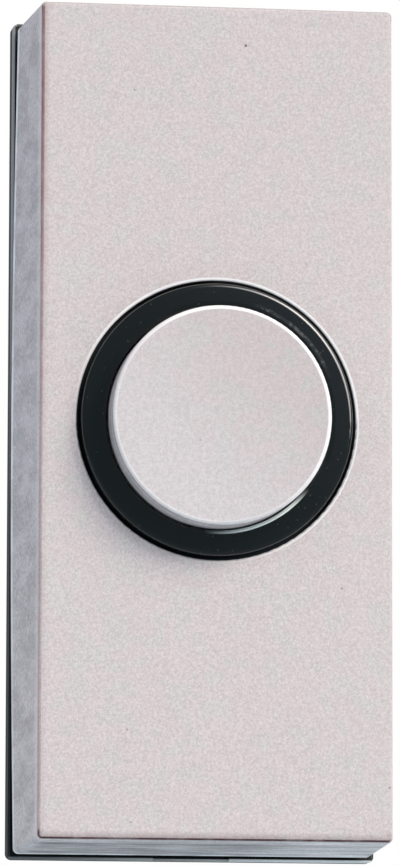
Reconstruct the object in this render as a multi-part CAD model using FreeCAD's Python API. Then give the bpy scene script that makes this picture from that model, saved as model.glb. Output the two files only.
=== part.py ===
import FreeCAD, Part
import math
import os

# Doorbell push button for surface mounting. All sizes are in millimetres.
# X runs to the right, Z runs up and the wall is the plane y = 0.
# A level is a distance in front of the wall, so a level of 5 lies at y = -5.

Vector = FreeCAD.Vector
OUT = Vector(0, -1, 0)

# Base plate
base_corner_r = 0.6
base_edge_r = 0.25
flange_thickness = 2.0
ledge_height = 0.8
ledge_inset = 0.7
rim_height = 3.2
rim_thickness = 1.4
rim_clearance = 0.2
rim_corner_r = 1.0

# Hook at each end of the rim, and the slot that a blade enters to free the cover
lug_width = 8.0
lug_reach = 0.55
lug_height = 1.2
lug_rise = 1.2
lug_clearance = 0.15
slot_width = 7.3
slot_depth = 0.8

# Wall fixing holes and cable entry
fixing_inset = 8.1
fixing_hole_r = 2.0
fixing_head_r = 3.4
fixing_collar_r = 4.3
fixing_collar_height = 1.0
cable_entry_r = 3.2
cable_entry_drop = 3.9

# Cover. Its face is as wide as its hole and a land on each side.
face_height = 78.5
face_side_land = 3.5
cover_margin = 0.45
cover_depth = 15.0
cover_draft = 0.5
cover_wall = 1.6
cover_face_wall = 1.8
cover_corner_r = 0.5
cover_inner_corner_r = 0.5
cover_edge_r = 0.35
cover_lip_r = 0.18
hole_rib_thickness = 1.2
hole_rib_height = 1.4
cross_rib_thickness = 0.9
cross_rib_height = 1.2
cross_rib_gap = 1.3

# Housing that guides the button
housing_floor = 1.2
housing_wall = 1.45
housing_mouth = 0.95
bore_clearance = 0.17
guide_clearance = 0.1
guide_wall = 0.9
guide_height = 2.5
ear_thickness = 1.8
ear_r = 3.5
ear_reach = 4.3
boss_r = 2.9

# Trim ring round the button
bezel_band = 2.35
bezel_proud = 0.86
bezel_gap = 0.35
bezel_fit = 0.05
bezel_flange_width = 1.1
bezel_flange_thickness = 0.8
bezel_flange_gap = 0.25
bezel_outer_edge_r = 0.38
bezel_inner_edge_r = 0.25
shoulder_thickness = 0.95
shoulder_inset = 0.4

# Button
button_r = 10.28
button_proud = 3.9
button_edge_r = 0.3
button_face_wall = 1.6
button_skirt_wall = 1.3
button_travel = 1.8
bottom_clearance = 0.3
stem_r = 2.5
stem_nose = 0.45
stem_nose_gap = 0.3
stem_chamfer = 0.2
spring_cup_wall = 0.8
spring_cup_height = 0.9
button_rib_thickness = 0.8
button_rib_height = 1.8
button_rib_count = 4

# Clip in the stem's groove
clip_r = 3.8
clip_thickness = 0.6
clip_gap = 0.15
clip_fit = 0.05
clip_mouth = 3.4
groove_depth = 0.5

# Return spring. Its round wire is drawn with a few flats.
spring_guide_clearance = 0.45
spring_wire = 0.5
spring_wire_flats = 8
spring_turns = 6
spring_cup_clearance = 0.35

# Contact strips. Each runs from its terminal to the axis of the button.
terminal_x = 7.5
terminal_drop = 3.8
terminal_block = 7.8
terminal_level = 4.5
strip_pad_r = 3.4
strip_arm_width = 4.0
strip_tip_r = 2.6
strip_bend_r = 0.6
moving_strip_thickness = 0.3
moving_strip_ramp = 6.0
fixed_strip_thickness = 0.5
fixed_strip_ramp = 3.0
pedestal_width = 4.8

# Silver contact points
contact_r = 1.4
contact_dome = 0.5
contact_dome_slope = 0.3
contact_closing_gap = 0.15
contact_shank_r = 0.7
contact_fit = 0.1
contact_head_r = 1.1
contact_head = 0.15
contact_seat_gap = 0.05

# Strip rivets
rivet_offset = 6.0
rivet_head_r = 1.5
rivet_head = 0.5
rivet_shank_r = 0.9
rivet_depth = 2.1
rivet_slope = 0.25

# Terminal hardware
terminal_screw_r = 1.5
terminal_head_r = 2.7
terminal_head = 1.8
terminal_shank_end = 1.3
washer_r = 3.2
washer_thickness = 0.5
nut_width = 5.5
nut_thickness = 1.8

# Screws that hold the housing
housing_screw_r = 1.25
housing_head_r = 2.3
housing_head = 1.6
housing_screw_end = 2.6

# Shared clearances and screw details
thread_clearance = 0.05
pass_clearance = 0.15
pocket_clearance = 0.1
blind_end = 0.3
screw_point = 0.3
screw_head_slope = 0.5
drive_width = 0.7
drive_depth = 0.8
drive_length = 3.0
overlap = 0.3

# Levels and sizes that follow from the driving ones
bore_r = button_r + bore_clearance
bezel_r = bore_r + bezel_band
cover_hole_r = bezel_r + bezel_gap
face_width = 2 * (cover_hole_r + face_side_land)
cover_back_width = face_width + 2 * cover_draft
cover_back_height = face_height + 2 * cover_draft
base_width = cover_back_width + 2 * cover_margin
base_height = cover_back_height + 2 * cover_margin

level_flange = flange_thickness
level_ledge = level_flange + ledge_height
level_rim = level_ledge + rim_height
level_face = level_ledge + cover_depth
level_ceiling = level_face - cover_face_wall
lug_level = level_ledge + lug_rise
fixing_z = base_height / 2 - fixing_inset

level_fixed_top = level_flange + fixed_strip_thickness
level_fixed_dome = level_fixed_top + contact_dome
level_moving_dome = level_fixed_dome + contact_closing_gap + button_travel
level_moving_strip = level_moving_dome + contact_dome + contact_seat_gap
level_moving_top = level_moving_strip + moving_strip_thickness
level_nose = level_moving_top + stem_nose_gap
level_clip = level_nose + stem_nose + clip_thickness
nut_level = terminal_level - nut_thickness

guide_r = stem_r + guide_clearance
guide_outer_r = guide_r + guide_wall
spring_mean_r = guide_outer_r + spring_guide_clearance + spring_wire / 2
housing_r = bore_r + housing_wall
housing_floor_level = level_clip + clip_gap
level_cup = housing_floor_level + housing_floor
level_ear = housing_floor_level + ear_thickness
level_bezel = level_face + bezel_proud
level_mouth = level_bezel - housing_mouth
bezel_flange_r = bezel_r + bezel_flange_width
level_bezel_flange = level_ceiling - bezel_flange_gap
level_shoulder = level_bezel_flange - bezel_flange_thickness

level_button = level_face + button_proud
level_cap = level_button - button_face_wall
level_skirt = level_cup + button_travel + bottom_clearance
groove_r = stem_r - groove_depth

ear_z = housing_r + ear_reach
terminal_z = -ear_z - terminal_drop
cable_entry_z = terminal_z - cable_entry_drop
strip_length = math.hypot(terminal_x, terminal_z)
ramp_start = rivet_offset + rivet_head_r + overlap


def spot(x, level, z):
    """A point given by its place on the wall and its level."""
    return Vector(x, -level, z)


def outline(width, height, radius, level):
    """A closed rectangle with round corners, parallel to the wall."""
    half_width = width / 2 - radius
    half_height = height / 2 - radius
    corners = ((1, 1, 0), (-1, 1, 90), (-1, -1, 180), (1, -1, 270))
    arcs = []
    for side_x, side_z, start in corners:
        points = []
        for turn in (0, 45, 90):
            angle = math.radians(start + turn)
            x = side_x * half_width + radius * math.cos(angle)
            z = side_z * half_height + radius * math.sin(angle)
            points.append(spot(x, level, z))
        arcs.append(Part.Arc(*points))
    edges = []
    for arc, following in zip(arcs, arcs[1:] + arcs[:1]):
        edges.append(arc.toShape())
        edges.append(Part.makeLine(arc.EndPoint, following.StartPoint))
    return Part.Wire(edges)


def slab(width, height, radius, low, high):
    """A plate with round corners between two levels."""
    return Part.Face(outline(width, height, radius, low)).extrude(OUT * (high - low))


def disc(radius, low, high, x=0.0, z=0.0):
    """A round solid with its axis square to the wall."""
    return Part.makeCylinder(radius, high - low, spot(x, low, z), OUT)


def block(left, right, bottom, top, low, high):
    """A square-edged solid between two levels."""
    return Part.makeBox(right - left, high - low, top - bottom, Vector(left, -high, bottom))


def turned(points, x=0.0, z=0.0):
    """A solid of revolution about an axis square to the wall, from (radius, level) points."""
    wire = Part.makePolygon([spot(radius, level, 0) for radius, level in points + points[:1]])
    solid = Part.Face(wire).revolve(Vector(0, 0, 0), OUT, 360)
    if solid.Volume < 0:
        solid.reverse()
    solid.translate(Vector(x, 0, z))
    return solid


def edges_at(solid, level, radius=None):
    """Edges that lie flat at a level, all of them or only circles of one radius."""
    found = []
    for edge in solid.Edges:
        box = edge.BoundBox
        if abs(box.YMin + level) > 0.001 or abs(box.YMax + level) > 0.001:
            continue
        round_edge = isinstance(edge.Curve, Part.Circle)
        if radius is None or (round_edge and abs(edge.Curve.Radius - radius) < 0.001):
            found.append(edge)
    return found


def cover_size(level):
    """Width and height of the cover's outside at a level, which lean in towards the face."""
    lean = 2 * cover_draft * (level - level_ledge) / cover_depth
    return cover_back_width - lean, cover_back_height - lean


def rim_size():
    """Width and height of the rim's outside, a clearance inside the cover."""
    width, height = cover_size(level_rim)
    inset = 2 * (cover_wall + rim_clearance)
    return width - inset, height - inset


def strip_point(side, distance):
    """Place on the wall of a point along a strip, measured from its terminal."""
    share = 1 - distance / strip_length
    return side * terminal_x * share, terminal_z * share


def lay_along_strip(shape, side):
    """Turns a shape drawn upwards from the origin so that it runs from a terminal to the axis."""
    angle = math.degrees(math.atan2(terminal_x, -terminal_z))
    shape.rotate(Vector(0, 0, 0), Vector(0, 1, 0), -side * angle)
    shape.translate(Vector(side * terminal_x, 0, terminal_z))
    return shape


def snap_lug(side):
    """Hook on one end of the rim, square behind and sloped in front."""
    root = rim_size()[1] / 2
    corners = (
        (root - overlap, lug_level),
        (root + lug_reach, lug_level),
        (root + lug_reach, lug_level + lug_height / 3),
        (root, lug_level + lug_height),
        (root - overlap, lug_level + lug_height),
    )
    points = [spot(-lug_width / 2, level, side * z) for z, level in corners + corners[:1]]
    return Part.Face(Part.makePolygon(points)).extrude(Vector(lug_width, 0, 0))


def terminal_support(side):
    """Block under a terminal, with a pedestal that carries the strip as far as its rivet."""
    half = terminal_block / 2
    x = side * terminal_x
    support = block(x - half, x + half, terminal_z - half, terminal_z + half, 0, terminal_level)
    pedestal = block(-pedestal_width / 2, pedestal_width / 2, 0, ramp_start - overlap, 0, terminal_level)
    return support.fuse(lay_along_strip(pedestal, side))


def terminal_cuts(side):
    """Pocket for the square nut, hole for the screw's end and hole for the strip's rivet."""
    x = side * terminal_x
    half = nut_width / 2 + pocket_clearance
    pocket = block(x - half, x + half, terminal_z - half, terminal_z + half, nut_level, terminal_level)
    shank_r = terminal_screw_r + thread_clearance
    shank = disc(shank_r, terminal_shank_end - blind_end, nut_level, x, terminal_z)
    rivet_x, rivet_z = strip_point(side, rivet_offset)
    rivet_low = terminal_level - rivet_depth - blind_end
    rivet = disc(rivet_shank_r + thread_clearance, rivet_low, terminal_level, rivet_x, rivet_z)
    return pocket.fuse([shank, rivet])


def fixing_hole(z):
    """Wall fixing hole with a countersink in its raised collar."""
    top = level_flange + fixing_collar_height
    sink = fixing_head_r - fixing_hole_r
    profile = [(0, 0), (fixing_hole_r, 0), (fixing_hole_r, top - sink), (fixing_head_r, top), (0, top)]
    return turned(profile, 0, z)


def base_plate():
    """Moulded base: flange, ledge and rim round the edge, with seats for everything inside."""
    plate = slab(base_width, base_height, base_corner_r, 0, level_flange)
    plate = plate.makeFillet(base_edge_r, edges_at(plate, level_flange))
    rim_width, rim_length = rim_size()
    inner_width = rim_width - 2 * rim_thickness
    inner_length = rim_length - 2 * rim_thickness
    ledge = slab(
        cover_back_width - 2 * ledge_inset,
        cover_back_height - 2 * ledge_inset,
        rim_corner_r,
        level_flange - overlap,
        level_ledge,
    )
    rim = slab(rim_width, rim_length, rim_corner_r, level_flange - overlap, level_rim)
    well = slab(inner_width, inner_length, rim_corner_r, level_flange, level_rim)
    wall = ledge.fuse(rim).cut(well)
    added = [wall, snap_lug(1), snap_lug(-1), terminal_support(-1), terminal_support(1)]
    removed = [terminal_cuts(-1), terminal_cuts(1)]
    for side in (-1, 1):
        added.append(disc(boss_r, 0, housing_floor_level, 0, side * ear_z))
        hole_r = housing_screw_r + thread_clearance
        removed.append(disc(hole_r, housing_screw_end - blind_end, housing_floor_level, 0, side * ear_z))
        added.append(disc(fixing_collar_r, 0, level_flange + fixing_collar_height, 0, side * fixing_z))
        removed.append(fixing_hole(side * fixing_z))
    removed.append(disc(cable_entry_r, 0, level_flange, 0, cable_entry_z))
    slot_end = -rim_length / 2
    slot = block(
        -slot_width / 2, slot_width / 2, -base_height / 2, slot_end, level_flange - slot_depth, level_ledge
    )
    removed.append(slot)
    return plate.fuse(added).cut(removed).removeSplitter()


def front_cover():
    """Tapered shell with a round hole, ribs under its face and a pocket for each hook."""
    shell = Part.makeLoft(
        [
            outline(cover_back_width, cover_back_height, cover_corner_r, level_ledge),
            outline(face_width, face_height, cover_corner_r, level_face),
        ],
        True,
        True,
    )
    shell = shell.makeFillet(cover_edge_r, edges_at(shell, level_face))
    ceiling_width, ceiling_height = cover_size(level_ceiling)
    wall = 2 * cover_wall
    cavity = Part.makeLoft(
        [
            outline(cover_back_width - wall, cover_back_height - wall, cover_inner_corner_r, level_ledge),
            outline(ceiling_width - wall, ceiling_height - wall, cover_inner_corner_r, level_ceiling),
        ],
        True,
        True,
    )
    hole_rib_r = bezel_flange_r + overlap
    rib_low = level_ceiling - hole_rib_height
    ribs = disc(hole_rib_r + hole_rib_thickness, rib_low, level_ceiling)
    ribs = ribs.cut(disc(hole_rib_r, rib_low, level_ceiling))
    inner_rib = ear_z + ear_r + cross_rib_gap
    outer_rib = (inner_rib + face_height / 2) / 2
    for z in (-outer_rib, -inner_rib, inner_rib, outer_rib):
        half = cross_rib_thickness / 2
        low = level_ceiling - cross_rib_height
        reach = cover_back_width / 2
        ribs = ribs.fuse(block(-reach, reach, z - half, z + half, low, level_ceiling))
    shell = shell.cut(cavity.cut(ribs))
    shell = shell.cut(disc(cover_hole_r, level_ceiling, level_face))
    shell = shell.makeFillet(cover_lip_r, edges_at(shell, level_face, cover_hole_r))
    pocket_half = lug_width / 2 + lug_clearance
    pocket_end = rim_size()[1] / 2 + lug_reach + lug_clearance
    pockets = block(
        -pocket_half,
        pocket_half,
        -pocket_end,
        pocket_end,
        lug_level - lug_clearance,
        lug_level + lug_height + lug_clearance,
    )
    return shell.cut(pockets).removeSplitter()


def button_housing():
    """Cup with a guide for the stem, a shoulder for the trim ring and two ears for its screws."""
    shoulder_r = bezel_flange_r - shoulder_inset
    cup = turned(
        [
            (guide_r, housing_floor_level),
            (housing_r, housing_floor_level),
            (housing_r, level_shoulder - shoulder_thickness),
            (shoulder_r, level_shoulder - shoulder_thickness),
            (shoulder_r, level_shoulder),
            (housing_r, level_shoulder),
            (housing_r, level_mouth),
            (bore_r, level_mouth),
            (bore_r, level_cup),
            (guide_outer_r, level_cup),
            (guide_outer_r, level_cup + guide_height),
            (guide_r, level_cup + guide_height),
        ]
    )
    ears = block(-ear_r, ear_r, -ear_z, ear_z, housing_floor_level, level_ear)
    for z in (-ear_z, ear_z):
        ears = ears.fuse(disc(ear_r, housing_floor_level, level_ear, 0, z))
    ears = ears.cut(disc((bore_r + housing_r) / 2, housing_floor_level, level_ear))
    for z in (-ear_z, ear_z):
        ears = ears.cut(disc(housing_screw_r + pass_clearance, housing_floor_level, level_ear, 0, z))
    return cup.fuse(ears).removeSplitter()


def bezel_ring():
    """Trim ring that sits over the housing's mouth, with a flange behind the cover's face."""
    skirt_r = housing_r + bezel_fit
    ring = turned(
        [
            (bore_r, level_mouth + bezel_fit),
            (bore_r, level_bezel),
            (bezel_r, level_bezel),
            (bezel_r, level_bezel_flange),
            (bezel_flange_r, level_bezel_flange),
            (bezel_flange_r, level_shoulder),
            (skirt_r, level_shoulder),
            (skirt_r, level_mouth + bezel_fit),
        ]
    )
    ring = ring.makeFillet(bezel_outer_edge_r, edges_at(ring, level_bezel, bezel_r))
    return ring.makeFillet(bezel_inner_edge_r, edges_at(ring, level_bezel, bore_r))


def push_button():
    """Cap with a skirt, a cup for the spring and a grooved stem, all one moulding."""
    skirt_inner = button_r - button_skirt_wall
    cup_inner = spring_mean_r + spring_wire / 2 + spring_cup_clearance
    cup_outer = cup_inner + spring_cup_wall
    cap = turned(
        [
            (0, level_button),
            (button_r, level_button),
            (button_r, level_skirt),
            (skirt_inner, level_skirt),
            (skirt_inner, level_cap),
            (cup_outer, level_cap),
            (cup_outer, level_cap - spring_cup_height),
            (cup_inner, level_cap - spring_cup_height),
            (cup_inner, level_cap),
            (stem_r, level_cap),
            (stem_r, level_clip),
            (groove_r, level_clip),
            (groove_r, level_clip - clip_thickness),
            (stem_r, level_clip - clip_thickness),
            (stem_r, level_nose + stem_chamfer),
            (stem_r - stem_chamfer, level_nose),
            (0, level_nose),
        ]
    )
    cap = cap.makeFillet(button_edge_r, edges_at(cap, level_button, button_r))
    ribs = []
    for index in range(button_rib_count):
        half = button_rib_thickness / 2
        low = level_cap - button_rib_height
        middle = (cup_inner + cup_outer) / 2
        rib = block(middle, skirt_inner + overlap, -half, half, low, level_cap + overlap)
        rib.rotate(Vector(0, 0, 0), Vector(0, 1, 0), index * 360 / button_rib_count)
        ribs.append(rib)
    return cap.fuse(ribs).removeSplitter()


def return_spring():
    """Coil spring with ground ends, between the housing's floor and the cap."""
    length = level_cap - level_cup
    travel = length - spring_wire / 2
    helix = Part.makeHelix(travel / spring_turns, travel, spring_mean_r)
    corners = []
    for index in range(spring_wire_flats):
        angle = 2 * math.pi * index / spring_wire_flats
        out = spring_wire / 2 * math.cos(angle)
        corners.append(Vector(spring_mean_r + out, 0, spring_wire / 2 * math.sin(angle)))
    section = Part.makePolygon(corners + corners[:1])
    coil = Part.Wire(helix).makePipeShell([section], True, True)
    coil.translate(Vector(0, 0, spring_wire / 4))
    coil.rotate(Vector(0, 0, 0), Vector(1, 0, 0), 90)
    coil.translate(Vector(0, -level_cup, 0))
    return coil.common(disc(spring_mean_r + spring_wire, level_cup, level_cap))


def retaining_clip():
    """Open spring clip in the stem's groove, just behind the housing's floor."""
    low = level_clip - clip_thickness
    clip = disc(clip_r, low, level_clip).cut(disc(groove_r + clip_fit, low, level_clip))
    return clip.cut(block(0, clip_r, -clip_mouth / 2, clip_mouth / 2, low, level_clip))


def contact_strip(side, thickness, ramp, end_level, contact_hole_r):
    """Pressed strip: a bent side profile, cut to the strip's outline and pierced."""
    end = strip_length + strip_tip_r
    under = [
        (-strip_pad_r, terminal_level),
        (ramp_start, terminal_level),
        (ramp_start + ramp, end_level),
        (end, end_level),
    ]
    over = [(distance, level + thickness) for distance, level in reversed(under)]
    profile = [spot(-strip_pad_r, level, distance) for distance, level in under + over + under[:1]]
    strip = Part.Face(Part.makePolygon(profile)).extrude(Vector(2 * strip_pad_r, 0, 0))
    bends = []
    for edge in strip.Edges:
        box = edge.BoundBox
        across = box.XLength > strip_pad_r
        if across and min(abs(box.ZMin - ramp_start), abs(box.ZMin - ramp_start - ramp)) < 0.001:
            bends.append(edge)
    strip = strip.makeFillet(strip_bend_r, bends)
    low = min(terminal_level, end_level)
    high = max(terminal_level, end_level) + thickness
    half = strip_arm_width / 2
    plan = block(-half, half, 0, strip_length, low, high)
    plan = plan.fuse([disc(strip_pad_r, low, high), disc(strip_tip_r, low, high, 0, strip_length)])
    strip = strip.common(plan)
    strip = strip.cut(disc(terminal_screw_r + pass_clearance, low, high))
    strip = strip.cut(disc(rivet_shank_r + thread_clearance, low, high, 0, rivet_offset))
    strip = strip.cut(disc(contact_hole_r, low, high, 0, strip_length))
    return lay_along_strip(strip, side)


def moving_contact():
    """Springy strip that rises from the left terminal to just under the stem."""
    hole_r = contact_shank_r + contact_fit
    return contact_strip(-1, moving_strip_thickness, moving_strip_ramp, level_moving_strip, hole_r)


def fixed_contact():
    """Strip that steps down from the right terminal and lies on the base under the stem."""
    hole_r = contact_shank_r + thread_clearance
    return contact_strip(1, fixed_strip_thickness, fixed_strip_ramp, level_flange, hole_r)


def moving_contact_point():
    """Silver rivet through the moving strip, with its dome towards the wall."""
    dome_seat = level_moving_strip - contact_seat_gap
    head_low = level_moving_top + contact_seat_gap
    return turned(
        [
            (0, level_moving_dome),
            (contact_r - contact_dome_slope, level_moving_dome),
            (contact_r, level_moving_dome + contact_dome_slope),
            (contact_r, dome_seat),
            (contact_shank_r, dome_seat),
            (contact_shank_r, head_low),
            (contact_head_r, head_low),
            (contact_head_r, head_low + contact_head),
            (0, head_low + contact_head),
        ]
    )


def fixed_contact_point():
    """Silver rivet in the fixed strip, with its dome away from the wall."""
    return turned(
        [
            (0, level_flange),
            (contact_shank_r, level_flange),
            (contact_shank_r, level_fixed_top),
            (contact_r, level_fixed_top),
            (contact_r, level_fixed_dome - contact_dome_slope),
            (contact_r - contact_dome_slope, level_fixed_dome),
            (0, level_fixed_dome),
        ]
    )


def contact_rivet(side, strip_thickness):
    """Rivet that holds a strip down on its pedestal and keeps it from turning."""
    seat = terminal_level + strip_thickness
    top = seat + rivet_head
    x, z = strip_point(side, rivet_offset)
    return turned(
        [
            (0, terminal_level - rivet_depth),
            (rivet_shank_r, terminal_level - rivet_depth),
            (rivet_shank_r, seat),
            (rivet_head_r, seat),
            (rivet_head_r, top - rivet_slope),
            (rivet_head_r - rivet_slope, top),
            (0, top),
        ],
        x,
        z,
    )


def pan_screw(x, z, seat, end, shank_r, head_r, head_height, arms):
    """Pan-head screw. Its drive is a slot when arms is 1 and a cross when arms is 2."""
    top = seat + head_height
    screw = turned(
        [
            (0, end),
            (shank_r - screw_point, end),
            (shank_r, end + screw_point),
            (shank_r, seat),
            (head_r, seat),
            (head_r, top - screw_head_slope),
            (head_r - screw_head_slope, top),
            (0, top),
        ],
        x,
        z,
    )
    length = 2 * head_r if arms == 1 else drive_length
    for index in range(arms):
        arm = block(-length / 2, length / 2, -drive_width / 2, drive_width / 2, top - drive_depth, top)
        arm.rotate(Vector(0, 0, 0), Vector(0, 1, 0), index * 180 / arms)
        arm.translate(Vector(x, 0, z))
        screw = screw.cut(arm)
    return screw


def terminal_screw(side, strip_thickness):
    """Slotted screw that clamps a bell wire under its washer."""
    seat = terminal_level + strip_thickness + washer_thickness
    x = side * terminal_x
    return pan_screw(
        x, terminal_z, seat, terminal_shank_end, terminal_screw_r, terminal_head_r, terminal_head, 1
    )


def terminal_washer(side, strip_thickness):
    """Flat washer on the strip's pad."""
    low = terminal_level + strip_thickness
    high = low + washer_thickness
    x = side * terminal_x
    hole = disc(terminal_screw_r + pass_clearance, low, high, x, terminal_z)
    return disc(washer_r, low, high, x, terminal_z).cut(hole)


def terminal_nut(side):
    """Square nut captive in the base."""
    x = side * terminal_x
    half = nut_width / 2
    nut = block(x - half, x + half, terminal_z - half, terminal_z + half, nut_level, terminal_level)
    hole = disc(terminal_screw_r + thread_clearance, nut_level, terminal_level, x, terminal_z)
    return nut.cut(hole)


def housing_screw(side):
    """Cross-head screw through one ear of the housing into its boss."""
    return pan_screw(
        0, side * ear_z, level_ear, housing_screw_end, housing_screw_r, housing_head_r, housing_head, 2
    )


pieces = {
    "base_plate": base_plate(),
    "front_cover": front_cover(),
    "button_housing": button_housing(),
    "bezel_ring": bezel_ring(),
    "push_button": push_button(),
    "return_spring": return_spring(),
    "retaining_clip": retaining_clip(),
    "moving_contact": moving_contact(),
    "fixed_contact": fixed_contact(),
    "moving_contact_point": moving_contact_point(),
    "fixed_contact_point": fixed_contact_point(),
    "housing_screw_top": housing_screw(1),
    "housing_screw_bottom": housing_screw(-1),
}
for name, side, strip_thickness in (
    ("left", -1, moving_strip_thickness),
    ("right", 1, fixed_strip_thickness),
):
    pieces["contact_rivet_" + name] = contact_rivet(side, strip_thickness)
    pieces["terminal_screw_" + name] = terminal_screw(side, strip_thickness)
    pieces["terminal_washer_" + name] = terminal_washer(side, strip_thickness)
    pieces["terminal_nut_" + name] = terminal_nut(side)

os.makedirs("parts", exist_ok=True)
for name, shape in pieces.items():
    solid = shape.Solids[0] if len(shape.Solids) == 1 else shape
    solid.exportStep("parts/" + name + ".step")
    print(name, "solids", len(shape.Solids), "valid", shape.isValid(), "volume", round(shape.Volume, 2))
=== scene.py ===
import math

import bmesh
import bpy
from mathutils import Matrix, Vector


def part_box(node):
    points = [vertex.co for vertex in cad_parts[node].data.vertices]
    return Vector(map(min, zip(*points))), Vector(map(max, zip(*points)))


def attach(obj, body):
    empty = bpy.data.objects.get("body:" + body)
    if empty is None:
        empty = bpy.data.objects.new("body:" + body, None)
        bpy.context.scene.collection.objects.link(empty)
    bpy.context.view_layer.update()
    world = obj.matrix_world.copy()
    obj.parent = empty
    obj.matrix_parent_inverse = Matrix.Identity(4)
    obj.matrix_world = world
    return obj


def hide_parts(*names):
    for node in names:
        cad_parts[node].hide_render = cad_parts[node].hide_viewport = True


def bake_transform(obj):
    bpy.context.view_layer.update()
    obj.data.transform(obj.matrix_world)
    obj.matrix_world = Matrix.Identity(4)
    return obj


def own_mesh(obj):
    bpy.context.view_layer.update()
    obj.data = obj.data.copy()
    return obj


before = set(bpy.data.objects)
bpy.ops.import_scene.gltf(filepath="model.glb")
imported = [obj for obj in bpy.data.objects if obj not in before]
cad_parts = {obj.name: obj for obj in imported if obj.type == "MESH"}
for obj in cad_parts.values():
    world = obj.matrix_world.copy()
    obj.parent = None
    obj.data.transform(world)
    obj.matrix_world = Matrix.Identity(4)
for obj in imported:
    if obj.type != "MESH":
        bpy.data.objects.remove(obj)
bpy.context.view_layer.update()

# Sizes here are in millimetres. X runs to the right, Z runs up and the wall is the plane y = 0.
# A level is a distance in front of the wall, so a level of 5 lies at y = -5.
MM = 0.001


def rgb(red, green, blue):
    return (red, green, blue, 1.0)


# Camera, as the photograph was taken: a little from the left and from below
camera_target = (-0.43, -10.0, -0.23)
camera_azimuth = -8.33
camera_elevation = -7.40
camera_roll = 0.14
camera_distance = 561.0
camera_lens = 246.7

# The photograph's own frame: where the middle of the cover's face lies, and its scale there
photo_centre = (216.4, 420.3)
photo_scale = 10.63

# Lamp: a square soft box, with its distance and size in metres
key_direction = (0.55, -0.60, 0.58)
key_distance = 4.0
key_size = 1.6
key_watts = 118.8
key_colour = (1.0, 0.89, 0.79)

# The lamp's direction as seen on the face, in degrees from the right towards the top
key_angle = 45.0

# The room that gloss shows: bright round the lamp, a glow round that, and dim beyond. Each edge is
# given by the cosine of the angle from the middle of the glow.
glow_direction = (0.60, -0.60, 0.53)
bright_edge = (0.82, 0.97)
glow_edge = (0.735, 0.81)
room_bright = rgb(13.0, 12.8, 12.5)
room_glow = rgb(0.30, 0.37, 0.47)
room_dim = rgb(0.15, 0.21, 0.235)
world_white = rgb(1.0, 1.0, 1.0)
world_walls = rgb(0.66, 0.69, 0.74)

# Gloss shows white behind the object, over this range of the direction's part along Y
behind_edge = (0.35, 0.8)

# The button hangs on a wall at this height, so the floor lies that far below it
mounting_height = 1100.0
floor_size = 12000.0
floor_colour = rgb(0.56, 0.67, 0.725)
floor_mirrored = rgb(0.25, 0.32, 0.36)


def node_box(name):
    """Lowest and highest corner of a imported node, in millimetres."""
    low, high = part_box(name)
    return low / MM, high / MM


cover_low, cover_high = node_box("front_cover")
button_low, button_high = node_box("push_button")
spring_low, spring_high = node_box("return_spring")
base_low = node_box("base_plate")[0]

face_level = -cover_low.y
ledge_level = -cover_high.y
button_level = -button_low.y
button_r = button_high.x

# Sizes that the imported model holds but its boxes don't show
cover_draft = 0.5
cover_corner_r = 0.5
bore_r = 10.45
ring_r = 12.8
crest_r = 11.15
hole_r = 13.15
flange_level = 2.0
spring_wire = 0.5

face_half_width = cover_high.x - cover_draft
face_half_height = cover_high.z - cover_draft


class Nodes:
    """A node tree and short calls that add nodes to it. Values may be numbers, colours or sockets."""

    def __init__(self, tree):
        self.tree = tree

    def join(self, value, socket):
        """Feeds a socket from another one, or sets it to a value."""
        if isinstance(value, bpy.types.NodeSocket):
            self.tree.links.new(value, socket)
        else:
            socket.default_value = value

    def math(self, operation, a, b=0.0):
        node = self.tree.nodes.new("ShaderNodeMath")
        node.operation = operation
        self.join(a, node.inputs[0])
        self.join(b, node.inputs[1])
        return node.outputs[0]

    def add(self, a, b):
        return self.math("ADD", a, b)

    def take(self, a, b):
        return self.math("SUBTRACT", a, b)

    def times(self, first, *others):
        """Product of values."""
        for value in others:
            first = self.math("MULTIPLY", first, value)
        return first

    def most(self, a, b):
        return self.math("MAXIMUM", a, b)

    def length(self, a, b):
        """Length of the vector with these two parts."""
        return self.math("SQRT", self.add(self.times(a, a), self.times(b, b)))

    def fade(self, value, low, high, start=0.0, end=1.0):
        """A smooth step of a value: start below low and end above high."""
        node = self.tree.nodes.new("ShaderNodeMapRange")
        node.interpolation_type = "SMOOTHSTEP"
        given = {"Value": value, "From Min": low, "From Max": high, "To Min": start, "To Max": end}
        for name, entry in given.items():
            self.join(entry, node.inputs[name])
        return node.outputs[0]

    def drop(self, value, low, high):
        """A smooth step down: 1 below low and 0 above high."""
        return self.fade(value, low, high, 1.0, 0.0)

    def band(self, value, low, high, soft):
        """1 where a value lies between two limits, with soft edges outside them."""
        return self.times(self.fade(value, low - soft, low), self.drop(value, high, high + soft))

    def blend(self, share, a, b):
        """Colour a where share is 0 and colour b where it is 1."""
        node = self.tree.nodes.new("ShaderNodeMix")
        node.data_type = "RGBA"
        self.join(share, node.inputs[0])
        self.join(a, node.inputs[6])
        self.join(b, node.inputs[7])
        return node.outputs[2]

    def tone(self, colour, factor):
        """A colour made lighter or darker by a factor."""
        node = self.tree.nodes.new("ShaderNodeVectorMath")
        node.operation = "SCALE"
        self.join(colour, node.inputs[0])
        self.join(factor, node.inputs["Scale"])
        return node.outputs["Vector"]

    def shade(self, colour, change, *where):
        """A colour made lighter by a share of itself, or darker by a share below zero, where masks allow."""
        return self.tone(colour, self.add(self.times(change, *where), 1.0))


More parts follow.
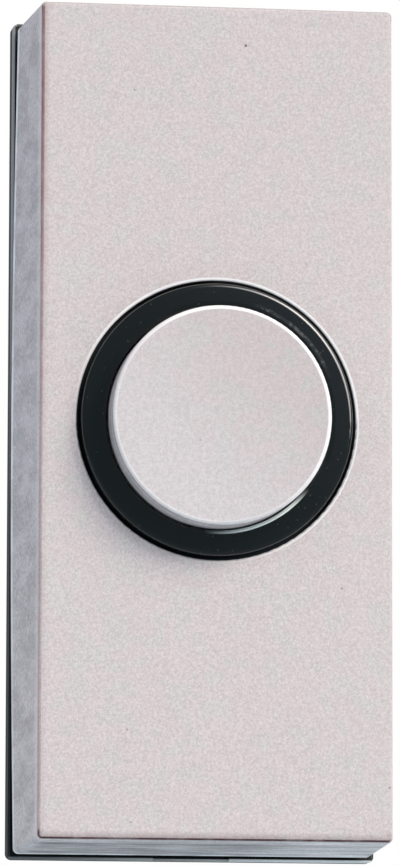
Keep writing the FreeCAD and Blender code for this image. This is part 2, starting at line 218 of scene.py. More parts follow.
class Shader(Nodes):
    """A material with its places in millimetres, and calls for its patterns."""

    def __init__(self, name, roughness=0.5, **settings):
        self.material = bpy.data.materials.new(name)
        self.material.use_nodes = True
        super().__init__(self.material.node_tree)
        self.surface = self.tree.nodes["Principled BSDF"]
        self.set(Roughness=roughness, **settings)
        coordinates = self.tree.nodes.new("ShaderNodeTexCoord")
        self.place = self.tone(coordinates.outputs["Object"], 1 / MM)
        split = self.tree.nodes.new("ShaderNodeSeparateXYZ")
        self.join(self.place, split.inputs[0])
        self.x = split.outputs["X"]
        self.z = split.outputs["Z"]
        self.level = self.times(split.outputs["Y"], -1.0)

    def set(self, **inputs):
        """Sets or feeds inputs of the surface, with underscores for the spaces in their names."""
        for name, value in inputs.items():
            self.join(value, self.surface.inputs[name.replace("_", " ")])

    def noise(self, size, detail=2.0, rough=0.5, stretch=None):
        """Noise whose lumps are about size across, from 0 to 1."""
        node = self.tree.nodes.new("ShaderNodeTexNoise")
        vector = self.place
        if stretch:
            mapping = self.tree.nodes.new("ShaderNodeMapping")
            self.join(vector, mapping.inputs["Vector"])
            mapping.inputs["Scale"].default_value = stretch
            vector = mapping.outputs[0]
        self.join(vector, node.inputs["Vector"])
        node.inputs["Scale"].default_value = 1 / size
        node.inputs["Detail"].default_value = detail
        node.inputs["Roughness"].default_value = rough
        return node.outputs["Fac"]

    def cells(self, size):
        """Distance to the nearest of many scattered points, in units of size."""
        node = self.tree.nodes.new("ShaderNodeTexVoronoi")
        self.join(self.place, node.inputs["Vector"])
        node.inputs["Scale"].default_value = 1 / size
        return node.outputs["Distance"]

    def grain(self, size, strength):
        """A factor near 1 that gives the surface a fine light and dark grain, drawn out along the depth."""
        drawn_out = (1.0, 0.4, 1.0)
        fine = self.noise(size, 1.0, stretch=drawn_out)
        coarse = self.noise(size * 2.3, 1.0, stretch=drawn_out)
        mixed = self.add(self.times(fine, 0.6), self.times(coarse, 0.4))
        return self.fade(mixed, 0.28, 0.72, 1.0 - strength, 1.0 + strength)

    def bump(self, height, depth, strength=1.0):
        """Roughens the surface by a height from 0 to 1 that stands for a depth, on top of earlier bumps."""
        node = self.tree.nodes.new("ShaderNodeBump")
        node.inputs["Strength"].default_value = strength
        node.inputs["Distance"].default_value = depth * MM
        self.join(height, node.inputs["Height"])
        previous = self.surface.inputs["Normal"].links
        if previous:
            self.join(previous[0].from_socket, node.inputs["Normal"])
        self.join(node.outputs["Normal"], self.surface.inputs["Normal"])

    def spots(self, places):
        """Strength of the small mark at each (x, z, radius, strength) of a face square to the wall."""
        total = 0.0
        for x, z, radius, strength in places:
            away = self.length(self.take(self.x, x), self.take(self.z, z))
            total = self.most(self.fade(away, radius * 0.4, radius, strength, 0.0), total)
        return total

    def axis_distance(self):
        """Distance from the button's axis."""
        return self.length(self.x, self.z)

    def axis_turn(self):
        """Angle round the button's axis in radians, from the right towards the top."""
        return self.math("ARCTAN2", self.z, self.x)

    def axis_angle(self):
        """The same angle in degrees."""
        return self.times(self.axis_turn(), 180 / math.pi)

    def towards_key(self):
        """1 on the side of the axis that lies towards the lamp, and -1 on the far side."""
        return self.math("COSINE", self.take(self.axis_turn(), math.radians(key_angle)))


# Pale plastic of the cover and the cap, with its dirt and its painted highlights and shade. Aged and matt, it
# mirrors little light
pale_pink = rgb(0.617, 0.550, 0.555)
pale_grey = rgb(0.600, 0.560, 0.555)
cap_pink = rgb(0.566, 0.497, 0.505)
cap_grey = rgb(0.541, 0.512, 0.509)
cap_light = rgb(0.633, 0.593, 0.598)
highlight_pale = rgb(0.93, 0.92, 0.93)
light_pink = rgb(0.93, 0.79, 0.80)
dark_brown = rgb(0.098, 0.046, 0.050)
edge_brown = rgb(0.25, 0.125, 0.125)
wall_shade = rgb(0.33, 0.335, 0.44)
cap_dark_line = rgb(0.16, 0.11, 0.10)
hole_shade = rgb(0.010, 0.010, 0.012)
matt_roughness = 0.6
matt_specular = 0.2

# Glossy plastic of the trim ring
gloss = rgb(0.0070, 0.0085, 0.0085)
gloss_dust = rgb(0.05, 0.05, 0.052)
gloss_reflection = rgb(0.16, 0.17, 0.17)
gloss_edge = rgb(0.022, 0.025, 0.026)
gloss_highlight = rgb(0.88, 0.95, 0.92)

# Black plastic of the base and the housing
base_black = rgb(0.010, 0.011, 0.012)
base_film = rgb(0.10, 0.10, 0.105)
deep_black = rgb(0.002, 0.002, 0.002)
sheen_grey = rgb(0.36, 0.36, 0.37)
reflected_white = rgb(0.75, 0.75, 0.74)
housing_black = rgb(0.014, 0.014, 0.015)
housing_flow = rgb(0.030, 0.030, 0.032)

# Small marks on the cover: column and row in the photograph, radius in millimetres, strength
cover_marks = (
    (245, 42, 0.17, 0.95),
    (133, 90, 0.14, 0.45),
    (200, 58, 0.12, 0.30),
    (306, 261, 0.12, 0.30),
    (342, 586, 0.16, 0.60),
    (128, 729, 0.14, 0.45),
    (132, 820, 0.14, 0.45),
    (89, 791, 0.12, 0.30),
    (390, 783, 0.16, 0.60),
)

# Small mark on the cap: x, z, radius and strength
button_mark = (-2.1, -2.4, 0.12, 0.35)


def from_photo(column, row):
    """Place on the cover's face, in millimetres, of a pixel of the photograph."""
    return (column - photo_centre[0]) / photo_scale, (photo_centre[1] - row) / photo_scale


def across_edge(shader):
    """Distance inwards on the cover's face, below zero, or down its wall, above zero."""
    out_x = shader.take(shader.math("ABSOLUTE", shader.x), face_half_width - cover_corner_r)
    out_z = shader.take(shader.math("ABSOLUTE", shader.z), face_half_height - cover_corner_r)
    beyond = shader.length(shader.most(out_x, 0.0), shader.most(out_z, 0.0))
    within = shader.math("MINIMUM", shader.most(out_x, out_z), 0.0)
    outline = shader.take(shader.add(beyond, within), cover_corner_r)
    return shader.add(outline, shader.take(face_level, shader.level))


class CoverParts:
    """Distances on the cover, and masks that are 1 on one of its parts and 0 elsewhere."""

    def __init__(self, shader):
        self.across = across_edge(shader)
        self.away = shader.axis_distance()
        self.wall = shader.fade(self.across, 0.25, 0.45)

        # The strips along the four edges, and the left one without its upper end
        inner = 1.4
        outer = 0.6
        self.left = shader.times(
            shader.drop(shader.x, outer - face_half_width, inner - face_half_width),
            shader.drop(shader.z, face_half_height - outer, face_half_height - 0.1),
        )
        self.right = shader.fade(shader.x, face_half_width - inner, face_half_width - outer)
        self.bottom = shader.drop(shader.z, outer - face_half_height, inner - face_half_height)
        self.top = shader.fade(shader.z, face_half_height - inner, face_half_height - outer)

        # The under side up to the left corner, and the other walls, marked less on the right
        left_corner = shader.fade(shader.x, 0.1 - face_half_width, 1.2 - face_half_width)
        self.under = shader.times(self.bottom, self.wall, left_corner)
        self.beside = shader.times(
            shader.take(self.wall, self.under),
            shader.fade(shader.x, -5.0, 5.0, 1.0, 0.6),
        )


def eroded_plastic(shader):
    """The cover's own colour, two pale tones in faint clouds with a fine grain, and a painted shade that
    darkens it a little towards the top.
    """
    clouds = shader.fade(shader.noise(1.9, 2.0), 0.48, 0.60)
    colour = shader.blend(clouds, pale_pink, pale_grey)
    colour = shader.tone(colour, shader.grain(0.12, 0.155))
    # Painted shade: the cover a little darker towards the top
    return shader.tone(colour, shader.fade(shader.z, 0.0, 30.0, 1.0, 0.975))


def painted_shade_on_walls(shader, parts, colour):
    """Painted bluish shade on the side walls, darkest at the top, with soft patches and specks."""
    # Painted shade, bluish and strongest at the top
    film = shader.fade(shader.z, -30.0, 0.0, 0.04, 0.20)
    colour = shader.blend(shader.times(film, parts.beside), colour, wall_shade)
    patches = shader.fade(shader.noise(1.8, 3.0, 0.5, (1.0, 0.25, 1.0)), 0.35, 0.65, -0.10, 0.13)
    specks = shader.fade(shader.noise(0.35, 1.0), 0.30, 0.70, -0.15, 0.16)
    return shader.shade(colour, shader.add(patches, specks), parts.beside)


def painted_light_on_under_side(shader, parts, colour):
    """Painted light on the under side: a light strip next to the face and more light to the right, with a
    dark strip behind the light one and streaks along them.
    """
    # Painted light: a strip next to the face
    light_strip = shader.times(shader.band(parts.across, 0.40, 2.5, 0.3), 0.24)
    dark_strip = shader.times(shader.band(parts.across, 3.2, 4.6, 0.4), -0.20)
    streaks = shader.fade(shader.noise(1.4, 4.0, 0.7, (0.18, 1.0, 1.0)), 0.35, 0.65, -0.36, 0.18)
    # Painted light and shade: darker to the left, lighter to the right
    to_right = shader.fade(shader.x, 0.0, 13.0, -0.11, 0.30)
    change = shader.add(shader.add(light_strip, dark_strip), shader.add(streaks, to_right))
    return shader.shade(colour, change, parts.under)


def dark_lines_in_edges(shader, parts, colour):
    """Dark lines in the left and lower edges, darkest along the bottom, with a darkening that reaches onto
    the face.
    """
    dark_left = shader.times(parts.left, shader.fade(shader.z, -10.0, 32.0, 0.40, 0.90))
    right_end = shader.fade(shader.x, face_half_width - 0.5, face_half_width, 1.0, 0.1)
    dark_low = shader.times(parts.bottom, right_end)
    darkened = shader.most(dark_left, dark_low)
    low_line = shader.times(
        shader.band(parts.across, -0.20, 0.03, 0.08),
        shader.most(dark_low, shader.times(parts.right, 0.12)),
    )
    left_line = shader.times(shader.band(parts.across, -0.28, 0.05, 0.10), dark_left)
    reaching = shader.times(
        shader.fade(parts.across, -1.0, -0.12, 0.0, 0.48),
        shader.drop(parts.across, 0.0, 0.1),
        darkened,
    )
    share = shader.most(shader.most(low_line, left_line), reaching)
    patchy = shader.fade(shader.noise(1.4, 2.0), 0.3, 0.6, 0.8, 1.0)
    line_colour = shader.blend(parts.bottom, edge_brown, dark_brown)
    colour = shader.blend(shader.times(share, patchy), colour, line_colour)
    return shader.shade(colour, -0.25, shader.band(parts.across, 0.0, 0.25, 0.1), parts.top)


def painted_highlights_on_edges(shader, parts, colour):
    """Painted highlights on the edges: a pale pink strip on the left wall beside the dark line, a pale one
    along the back edge, and one round the hole, strongest towards the lamp.
    """
    # Painted light: a pale pink strip on the left wall beside the dark line
    strip = shader.times(shader.fade(parts.across, 0.14, 0.30), shader.drop(parts.across, 0.5, 2.6))
    at_ends = shader.most(
        shader.fade(shader.z, -30.0, -12.0, 0.55, 0.36),
        shader.fade(shader.z, 5.0, 30.0, 0.0, 0.50),
    )
    colour = shader.blend(shader.times(strip, parts.left, at_ends), colour, light_pink)

    # Painted highlight along the back edge, broken into patches
    patchiness = shader.fade(shader.noise(3.0, 2.0, 0.5, (1.0, 0.1, 1.0)), 0.35, 0.6, 0.45, 0.95)
    behind = shader.drop(shader.level, ledge_level + 0.7, ledge_level + 1.3)
    back_edge = shader.times(behind, patchiness, parts.wall)
    # Painted highlight round the hole, strongest on the side towards the lamp
    lip = shader.times(
        shader.band(parts.away, hole_r + 0.05, hole_r + 0.22, 0.16),
        shader.fade(shader.towards_key(), -0.95, 0.1, 0.0, 0.9),
    )
    return shader.blend(shader.most(back_edge, lip), colour, highlight_pale)


def painted_shade_round_hole(shader, parts, colour):
    """A painted shadow below the left of the hole, on the side away from the lamp, and painted shade on the
    hole's wall behind the lip.
    """
    # Painted shadow, on the side of the hole away from the lamp
    painted_shadow = shader.fade(shader.towards_key(), -0.98, -0.55, -0.13, 0.0)
    colour = shader.shade(colour, painted_shadow, shader.band(parts.away, hole_r + 0.3, hole_r + 0.6, 0.5))
    # Painted shade on the wall of the hole
    hole_wall = shader.times(
        shader.drop(parts.away, hole_r + 0.04, hole_r + 0.16),
        shader.drop(shader.level, face_level - 0.20, face_level - 0.06),
    )
    return shader.blend(shader.times(hole_wall, 0.93), colour, hole_shade)


def marks_on_face(shader, parts, colour):
    """The small dark marks scattered over the cover's face."""
    marks = [(*from_photo(column, row), radius, strength) for column, row, radius, strength in cover_marks]
    on_face = shader.drop(parts.across, -0.5, 0.5)
    return shader.blend(shader.times(shader.spots(marks), on_face), colour, dark_brown)


def cover_plastic():
    """Pale moulded plastic with an eroded grain and faint clouds, dark lines along its left and lower edges,
    and painted light and shade on its walls and edges.
    """
    shader = Shader("cover_plastic_aged", roughness=matt_roughness, Specular_IOR_Level=matt_specular)
    parts = CoverParts(shader)
    colour = eroded_plastic(shader)
    layers = (
        painted_shade_on_walls,
        painted_light_on_under_side,
        dark_lines_in_edges,
        painted_highlights_on_edges,
        painted_shade_round_hole,
        marks_on_face,
    )
    for layer in layers:
        colour = layer(shader, parts, colour)
    shader.set(Base_Color=colour)
    shader.bump(shader.noise(0.16, 2.0, 0.6), 0.02, 0.5)
    return shader.material


def button_plastic():
    """The same pale plastic with a finer grain, with a painted highlight round its edge, strongest towards
    the lamp, and a dark line below it.
    """
    shader = Shader("button_plastic_aged", roughness=matt_roughness, Specular_IOR_Level=matt_specular)
    across = shader.add(
        shader.take(shader.axis_distance(), button_r),
        shader.take(button_level, shader.level),
    )
    clouds = shader.fade(shader.noise(2.1, 2.0), 0.48, 0.60)
    colour = shader.blend(clouds, cap_pink, cap_grey)
    lower_left = shader.fade(shader.add(shader.x, shader.z), -12.0, 12.0, 0.85, 0.0)
    colour = shader.blend(lower_left, colour, cap_light)
    colour = shader.tone(colour, shader.grain(0.17, 0.115))

    # Arcs of wear round the side, a dark line just below the edge and a painted highlight on the rim,
    # strongest towards the lamp
    arcs = shader.fade(shader.noise(0.35, 1.0, 0.5, (0.12, 1.0, 0.12)), 0.35, 0.65, -0.22, 0.10)
    colour = shader.shade(colour, arcs, shader.fade(across, 0.3, 0.5))
    under_rim = shader.times(shader.band(across, 0.26, 0.46, 0.1), 0.42)
    colour = shader.blend(under_rim, colour, cap_dark_line)
    # Painted highlight on the rim, strongest towards the lamp
    rim = shader.times(
        shader.band(across, -0.32, 0.10, 0.12),
        shader.fade(shader.towards_key(), -0.35, 0.5, 0.38, 0.9),
    )
    colour = shader.blend(rim, colour, highlight_pale)
    on_cap = shader.drop(across, -1.0, -0.5)
    colour = shader.blend(shader.times(shader.spots([button_mark]), on_cap), colour, dark_brown)
    shader.set(Base_Color=colour)
    shader.bump(shader.noise(0.18, 2.0, 0.6), 0.02, 0.3)
    return shader.material


def gloss_black():
    """Glossy black plastic of the trim ring, a little dusty, with a painted reflection at the upper right and
    a painted highlight on its inner edge at the lower right.
    """
    shader = Shader("bezel_plastic_gloss", roughness=0.095)
    away = shader.axis_distance()
    angle = shader.axis_angle()
    specks = shader.drop(shader.cells(0.7), 0.06, 0.14)
    colour = shader.blend(shader.times(specks, 0.8), gloss, gloss_dust)
    # Painted reflection: a faint light streak inside the crest at the upper right
    reflected_streak = shader.times(
        shader.band(away, crest_r + 0.12, crest_r + 0.27, 0.15),
        shader.band(angle, 32.0, 62.0, 12.0),
        shader.fade(shader.noise(0.5, 2.0), 0.45, 0.6, 0.2, 1.0),
    )
    colour = shader.blend(shader.times(reflected_streak, 0.5), colour, gloss_reflection)
    colour = shader.blend(shader.fade(away, ring_r - 0.08, ring_r - 0.01), colour, gloss_edge)
    # Painted highlight: two light lines on the inner edge at the lower right
    two_lines = shader.most(
        shader.band(away, bore_r + 0.02, bore_r + 0.11, 0.04),
        shader.band(away, bore_r + 0.17, bore_r + 0.31, 0.05),
    )
    painted_arc = shader.times(two_lines, shader.fade(angle, -98.0, -72.0), shader.drop(angle, -52.0, -36.0))
    colour = shader.blend(painted_arc, colour, gloss_highlight)
    shader.set(Base_Color=colour)

    # The ring's front leans a little outwards, and inwards inside its crest at the upper right
    ring_width = ring_r - bore_r
    slope = shader.math("DIVIDE", shader.take(ring_r, away), ring_width)
    dip = shader.math("DIVIDE", shader.most(shader.take(crest_r, away), 0.0), ring_width)
    dip = shader.times(dip, shader.band(angle, -15.0, 110.0, 15.0), 2.2)
    shader.bump(shader.take(slope, dip), 0.08)
    shader.bump(shader.noise(0.5, 2.0), 0.006, 0.3)
    return shader.material


def base_plastic():
    """Black plastic of the base, smooth at its edge, with a painted sheen on the upper left of its flange and
    a painted reflection along its lower edge.
    """
    shader = Shader("base_plastic_black")
    film = shader.times(shader.fade(shader.noise(0.8, 3.0, 0.6, (1.0, 1.0, 0.15)), 0.35, 0.65), 0.12)
    colour = shader.blend(film, base_black, base_film)
    # Painted sheen on the front of the flange at the upper left
    flange_sheen = shader.times(
        shader.drop(shader.x, base_low.x + 0.4, base_low.x + 0.5),
        shader.fade(shader.z, -10.0, 22.0),
        shader.band(shader.level, flange_level - 0.25, flange_level + 0.05, 0.05),
        0.9,
    )
    colour = shader.blend(flange_sheen, colour, sheen_grey)

    # A painted reflection: a pale line along the lower edge, stronger to the right
    past_side = shader.take(shader.math("ABSOLUTE", shader.x), cover_high.x)
    past_end = shader.take(shader.math("ABSOLUTE", shader.z), cover_high.z)
    lower_reflection = shader.times(
        shader.fade(shader.x, -16.0, 12.0, 0.15, 0.95),
        shader.fade(past_end, 0.20, 0.26),
        shader.fade(shader.level, flange_level - 1.1, flange_level - 0.9),
        shader.drop(shader.z, base_low.z + 1.2, base_low.z + 2.2),
    )
    colour = shader.blend(lower_reflection, colour, reflected_white)

    # Deep black under the cover's edge, where no light gets in
    recess = shader.times(
        shader.drop(shader.most(past_side, past_end), 0.16, 0.22),
        shader.fade(shader.level, flange_level - 0.95, flange_level - 0.85),
    )
    colour = shader.blend(recess, colour, deep_black)
    shader.set(Base_Color=colour)
    side = shader.fade(shader.level, flange_level - 0.3, flange_level - 0.15, 0.45, 0.0)
    shader.set(Roughness=shader.add(0.3, shader.add(side, shader.times(recess, 0.6))))
    shader.bump(shader.noise(0.3, 2.0), 0.008, 0.3)
    return shader.material


def housing_plastic():
    """Satin black plastic of the cup, with the faint flow marks of its moulding."""
    shader = Shader("housing_plastic_black", roughness=0.38)
    flow = shader.fade(shader.noise(2.4, 3.0, 0.6, (1.0, 0.3, 1.0)), 0.4, 0.7, 0.0, 0.3)
    shader.set(Base_Color=shader.blend(flow, housing_black, housing_flow))
    shader.bump(shader.noise(0.3, 2.0), 0.01, 0.3)
    return shader.material


def metal(name, colour, tarnish, roughness):
    """Bare metal with a faint tarnish in patches and fine scratches."""
    shader = Shader(name, Metallic=1.0)
    patches = shader.fade(shader.noise(1.5, 4.0, 0.6), 0.45, 0.7)
    shader.set(Base_Color=shader.blend(patches, colour, tarnish))
    shader.set(Roughness=shader.fade(shader.noise(0.7, 3.0), 0.3, 0.8, roughness, roughness + 0.18))
    shader.bump(shader.noise(0.2, 2.0, 0.5, (1.0, 1.0, 8.0)), 0.004, 0.4)
    return shader.material


materials = {
    "cover_plastic": cover_plastic(),
    "button_plastic": button_plastic(),
    "bezel_plastic": gloss_black(),
    "base_plastic": base_plastic(),
    "housing_plastic": housing_plastic(),
    "spring_steel": metal("spring_steel_bright", rgb(0.50, 0.50, 0.49), rgb(0.33, 0.32, 0.30), 0.28),
    "strip_brass": metal("strip_brass_dull", rgb(0.72, 0.52, 0.24), rgb(0.46, 0.31, 0.14), 0.33),
    "contact_silver": metal("contact_silver_dull", rgb(0.80, 0.79, 0.76), rgb(0.42, 0.40, 0.36), 0.3),
    "plated_steel": metal("plated_steel_zinc", rgb(0.60, 0.61, 0.62), rgb(0.42, 0.42, 0.40), 0.3),
}
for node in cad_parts.values():
    for holder in node.material_slots:
        holder.material = materials[holder.material.name]

# Angles in degrees: faces that meet at less than the first count as one flat face, and edges that
# turn by more than the second stay sharp. Points closer than the distance are merged.
flat_angle = 0.1
smooth_angle = 35
merge_distance = 0.001


def new_piece(name, mesh, slot, *replaced):
    """A piece in the row's frame from a mesh in metres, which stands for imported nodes."""
    mesh.materials.append(materials[slot])
    mesh.shade_smooth()
    mesh.set_sharp_from_angle(angle=math.radians(smooth_angle))
    piece = bpy.data.objects.new(name, mesh)
    bpy.context.scene.collection.objects.link(piece)
    weighted = piece.modifiers.new("weighted_normals", "WEIGHTED_NORMAL")
    weighted.keep_sharp = True
    piece.data = bpy.data.meshes.new_from_object(piece.evaluated_get(bpy.context.evaluated_depsgraph_get()))
    piece.modifiers.clear()
    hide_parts(*replaced)
    return piece


def joined_shape(name):
    """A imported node's mesh as a bmesh, with its doubled points merged and its flat faces whole."""
    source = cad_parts[name].data
    shape = bmesh.new()
    points = [shape.verts.new(vert.co) for vert in source.vertices]
    for face in source.polygons:
        shape.faces.new([points[index] for index in face.vertices])
    bmesh.ops.remove_doubles(shape, verts=shape.verts, dist=merge_distance * MM)
    limit = math.radians(flat_angle)
    bmesh.ops.dissolve_limit(shape, angle_limit=limit, verts=shape.verts, edges=shape.edges)
    return shape


def cut_across(shape, point, direction, faces=None, **options):
    """Cuts a bmesh, or only some of its faces, along the plane through a point square to a direction."""
    if faces is None:
        geometry = shape.verts[:] + shape.edges[:] + shape.faces[:]
    else:
        edges = {edge for face in faces for edge in face.edges}
        verts = {vert for face in faces for vert in face.verts}
        geometry = [*verts, *edges, *faces]
    bmesh.ops.bisect_plane(shape, geom=geometry, plane_co=point, plane_no=direction, **options)


def finished_piece(name, shape, slot, replaced):
    """A piece from a bmesh, which is used up."""
    mesh = bpy.data.meshes.new(name)
    shape.to_mesh(mesh)
    shape.free()
    return new_piece(name, mesh, slot, replaced)


def swept_mesh(name, rings):
    """A closed tube through rings of points in millimetres, capped at both ends."""
    count = len(rings[0])
    points = [Vector(point) * MM for ring in rings for point in ring]
    faces = [tuple(range(count))]
    for row in range(len(rings) - 1):
        start = row * count
        for index in range(count):
            following = (index + 1) % count
            faces.append((start + index, start + count + index, start + count + following, start + following))
    last = (len(rings) - 1) * count
    faces.append(tuple(reversed(range(last, last + count))))
    mesh = bpy.data.meshes.new(name)
    mesh.from_pydata(points, [], faces)
    return mesh


# Return spring: closed turns at both ends and open turns between them
spring_closed_turns = 1.1
spring_open_turns = 5.5
spring_easing = 0.35
spring_steps = 40
spring_sides = 12


def spring_climbs(rise):
    """How far the wire's middle climbs at each step, close at both ends and open between them."""
    turns = 2 * spring_closed_turns + spring_open_turns
    close_rise = 2 * spring_closed_turns * spring_wire
    open_pitch = (rise - close_rise) / (spring_open_turns - spring_easing)
    climbs = []
    for index in range(round(turns * spring_steps)):
        turn = (index + 0.5) / spring_steps
        from_end = min(turn, turns - turn) - spring_closed_turns
        share = min(max(from_end / spring_easing, 0.0), 1.0)
        climbs.append(spring_wire + (open_pitch - spring_wire) * share)
    scale = rise / sum(climbs)
    return [climb * scale for climb in climbs]


def spring_coil():
    """Round wire between the housing's floor and the cap, wound close at both ends."""
    wire_r = spring_wire / 2
    mean_r = spring_high.x - wire_r
    level = -spring_high.y + wire_r
    rise = -spring_low.y - wire_r - level
    rings = []
    for index, climb in enumerate([*spring_climbs(rise), 0.0]):
        angle = 2 * math.pi * index / spring_steps
        ring = []
        for side in range(spring_sides):
            turned = 2 * math.pi * side / spring_sides
            away = mean_r + wire_r * math.cos(turned)
            height = level + wire_r * math.sin(turned)
            ring.append((away * math.cos(angle), -height, away * math.sin(angle)))
        rings.append(ring)
        level += climb
    return swept_mesh("spring_coil", rings)


def return_spring():
    """The spring, which stands on the housing's floor; in the real push it shortens as the button goes in."""
    piece = new_piece("spring_coil", spring_coil(), "spring_steel", "return_spring")
    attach(piece, "root")
    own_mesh(piece)


# Moving strip, from its terminal to the axis of the button
terminal_place = (-7.5, -20.0)
strip_cut_step = 0.7
strip_edge_r = 0.04
strip_edge_angle = 50


def moving_strip():
    """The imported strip, cut across in many places so that it can bend, with its pressed edges rounded."""
    start = Vector((terminal_place[0], 0, terminal_place[1])) * MM
    length = start.length
    along = -start.normalized()
    shape = joined_shape("moving_contact")
    limit = math.radians(strip_edge_angle)
    sharp = [edge for edge in shape.edges if edge.is_manifold and edge.calc_face_angle() > limit]
    offset = strip_edge_r * MM
    bmesh.ops.bevel(shape, geom=sharp, offset=offset, segments=2, affect="EDGES", clamp_overlap=True)
    for index in range(1, int(length / (strip_cut_step * MM))):
        cut_across(shape, start + along * index * strip_cut_step * MM, along)
    piece = finished_piece("contact_leaf", shape, "strip_brass", "moving_contact")
    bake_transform(piece)


# The cover's left wall has bowed outwards with age, most at its back edge and at mid height.
# It is the part of the cover to the left of bow_from.
bow = 0.42
bow_step = 4.0
bow_from = -14.9


def bowed_cover():
    """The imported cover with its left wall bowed, cut across first so that it can bend."""
    shape = joined_shape("front_cover")
    height = cover_high.z * 2
    depth = face_level - ledge_level
    for index in range(1, int(height / bow_step)):
        cut = Vector((0, 0, index * bow_step - cover_high.z)) * MM
        walls = [face for face in shape.faces if all(vert.co.x < bow_from * MM for vert in face.verts)]
        cut_across(shape, cut, (0, 0, 1), walls)
    for vert in shape.verts:
        if vert.co.x < bow_from * MM:
            back = (face_level + vert.co.y / MM) / depth
            along = math.cos(math.pi * vert.co.z / MM / height)
            vert.co.x -= bow * MM * back * along
    piece = finished_piece("cover_bowed", shape, "cover_plastic", "front_cover")
    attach(piece, "root")


# Screws: the radius over the thread, its pitch and its depth. The shank stays plain next to the head
terminal_thread = (1.5, 0.5, 0.28)
housing_thread = (1.25, 0.8, 0.26)
plain_shank = 0.2
thread_rows = 8

# A tooth rises steeper than a plain zigzag of this pitch and starts later, which flattens crest and root
tooth_steepness = 1.3
tooth_start = 0.15


def thread_radius(thread, turns, below, above):
    """Distance of the thread from its axis after some turns, this far below the head and above the tip."""
    over, pitch, depth = thread
    zigzag = 1 - abs(2 * (turns % 1) - 1)
    tooth = min(max(tooth_steepness * zigzag - tooth_start, 0.0), 1.0)
    cut = depth * (1 - tooth) * min(below / pitch, 1.0)
    return min(over - cut, over - depth + above)


def threaded_screw(node_name, thread):
    """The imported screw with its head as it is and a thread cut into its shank."""
    low, high = node_box(node_name)
    middle = (low + high) / 2
    tip = -high.y
    shape = joined_shape(node_name)

    def away(vert):
        return math.hypot(vert.co.x / MM - middle.x, vert.co.z / MM - middle.z)

    def turn(vert):
        return math.atan2(vert.co.z / MM - middle.z, vert.co.x / MM - middle.x)

    under_head = min(-vert.co.y / MM for vert in shape.verts if away(vert) > thread[0] + plain_shank)
    start = under_head - plain_shank
    cut_across(shape, Vector((0, -start, 0)) * MM, (0, 1, 0), clear_outer=True)
    previous = sorted((vert for vert in shape.verts if vert.is_boundary), key=turn)
    turns = [turn(vert) for vert in previous]
    rows = round((start - tip) / thread[1] * thread_rows)
    for row in range(1, rows + 1):
        below = (start - tip) * row / rows
        level = start - below
        ring = []
        for angle in turns:
            radius = thread_radius(thread, below / thread[1] + angle / (2 * math.pi), below, level - tip)
            point = (middle.x + radius * math.cos(angle), -level, middle.z + radius * math.sin(angle))
            ring.append(shape.verts.new(Vector(point) * MM))
        for index in range(len(ring)):
            shape.faces.new((previous[index - 1], previous[index], ring[index], ring[index - 1]))
        previous = ring
    shape.faces.new(previous)
    bmesh.ops.recalc_face_normals(shape, faces=shape.faces)
    piece = finished_piece(node_name + "_threaded", shape, "plated_steel", node_name)
    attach(piece, "root")


return_spring()
moving_strip()
bowed_cover()
for end in ("left", "right"):
    threaded_screw("terminal_screw_" + end, terminal_thread)
for end in ("top", "bottom"):
    threaded_screw("housing_screw_" + end, housing_thread)


def aim(location, target):
    """Rotation that turns a camera or lamp at a place towards a target."""
    return (Vector(target) - Vector(location)).to_track_quat("-Z", "Y")


def place_camera():
    """Camera at the photograph's angle, rolled a little about its own line of sight."""
    azimuth = math.radians(camera_azimuth)
    elevation = math.radians(camera_elevation)
    back = Vector(
        (
            math.sin(azimuth) * math.cos(elevation),
            -math.cos(azimuth) * math.cos(elevation),
            math.sin(elevation),
        )
    )
    data = bpy.data.cameras.new("camera")
    data.lens = camera_lens
    data.sensor_width = 36.0
    data.clip_start = 0.01
    data.clip_end = 100.0
    camera = bpy.data.objects.new("camera", data)
    bpy.context.scene.collection.objects.link(camera)
    camera.rotation_mode = "QUATERNION"
    target = Vector(camera_target) * MM
    camera.location = target + back * camera_distance * MM
    roll = Matrix.Rotation(math.radians(camera_roll), 4, "Z").to_quaternion()
    camera.rotation_quaternion = aim(camera.location, target) @ roll
    bpy.context.scene.camera = camera


def key_light():
    """The soft box, which faces the button."""
    data = bpy.data.lights.new("key_light", "AREA")
    data.shape = "SQUARE"
    data.size = key_size
    data.energy = key_watts
    data.color = key_colour
    lamp = bpy.data.objects.new("key_light", data)
    bpy.context.scene.collection.objects.link(lamp)
    lamp.location = Vector(key_direction).normalized() * key_distance
    lamp.rotation_mode = "QUATERNION"
    lamp.rotation_quaternion = aim(lamp.location, (0, 0, 0))
    lamp.visible_camera = False


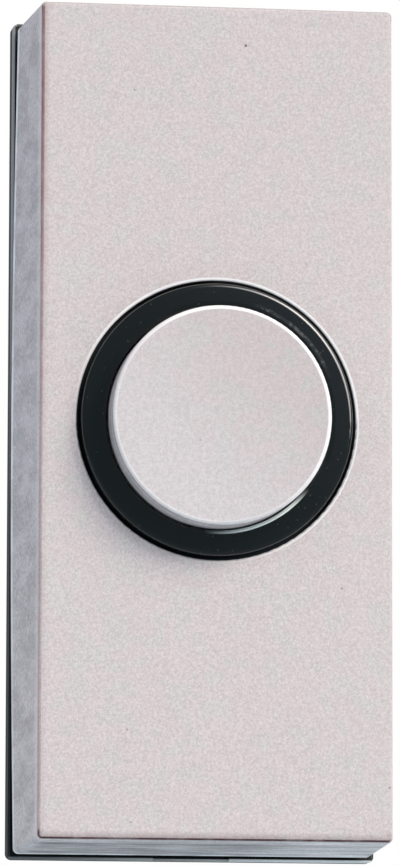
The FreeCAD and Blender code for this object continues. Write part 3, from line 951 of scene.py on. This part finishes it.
def studio_world():
    """White behind the object and for the camera, bluish walls that light it, and a dim room in its gloss."""
    world = bpy.data.worlds.new("studio")
    bpy.context.scene.world = world
    world.use_nodes = True
    world.node_tree.nodes.clear()
    nodes = Nodes(world.node_tree)
    add = nodes.tree.nodes.new
    direction = add("ShaderNodeTexCoord").outputs["Generated"]
    along_glow = add("ShaderNodeVectorMath")
    along_glow.operation = "DOT_PRODUCT"
    nodes.join(direction, along_glow.inputs[0])
    nodes.join(Vector(glow_direction).normalized(), along_glow.inputs[1])
    nearness = along_glow.outputs["Value"]
    room = nodes.blend(nodes.fade(nearness, *glow_edge), room_dim, room_glow)
    room = nodes.blend(nodes.fade(nearness, *bright_edge), room, room_bright)
    split = add("ShaderNodeSeparateXYZ")
    nodes.join(direction, split.inputs[0])
    mirrored = nodes.blend(nodes.fade(split.outputs["Y"], *behind_edge), room, world_white)
    path = add("ShaderNodeLightPath")
    shown = nodes.blend(path.outputs["Is Glossy Ray"], world_walls, mirrored)
    for ray in ("Is Camera Ray", "Is Transmission Ray"):
        shown = nodes.blend(path.outputs[ray], shown, world_white)
    background = add("ShaderNodeBackground")
    nodes.join(shown, background.inputs["Color"])
    nodes.join(background.outputs[0], add("ShaderNodeOutputWorld").inputs["Surface"])


def studio_floor():
    """Pale floor far below the button, as under a bell push on a wall: white to the camera, dim in gloss."""
    half = floor_size / 2 * MM
    drop = -mounting_height * MM
    mesh = bpy.data.meshes.new("floor")
    corners = [(-half, -half, drop), (half, -half, drop), (half, half, drop), (-half, half, drop)]
    mesh.from_pydata(corners, [], [(0, 1, 2, 3)])
    floor = bpy.data.objects.new("floor", mesh)
    bpy.context.scene.collection.objects.link(floor)
    shader = Shader("floor_pale", roughness=0.8)
    shader.set(Base_Color=floor_colour)
    nodes = shader.tree.nodes
    path = nodes.new("ShaderNodeLightPath")
    shown = shader.surface.outputs[0]
    for ray, colour in (("Is Glossy Ray", floor_mirrored), ("Is Camera Ray", world_white)):
        plain = nodes.new("ShaderNodeEmission")
        plain.inputs["Color"].default_value = colour
        chosen = nodes.new("ShaderNodeMixShader")
        shader.join(path.outputs[ray], chosen.inputs[0])
        shader.join(shown, chosen.inputs[1])
        shader.join(plain.outputs[0], chosen.inputs[2])
        shown = chosen.outputs[0]
    shader.join(shown, nodes["Material Output"].inputs["Surface"])
    mesh.materials.append(shader.material)


place_camera()
studio_world()
studio_floor()
key_light()

bpy.context.scene.view_settings.view_transform = "Standard"
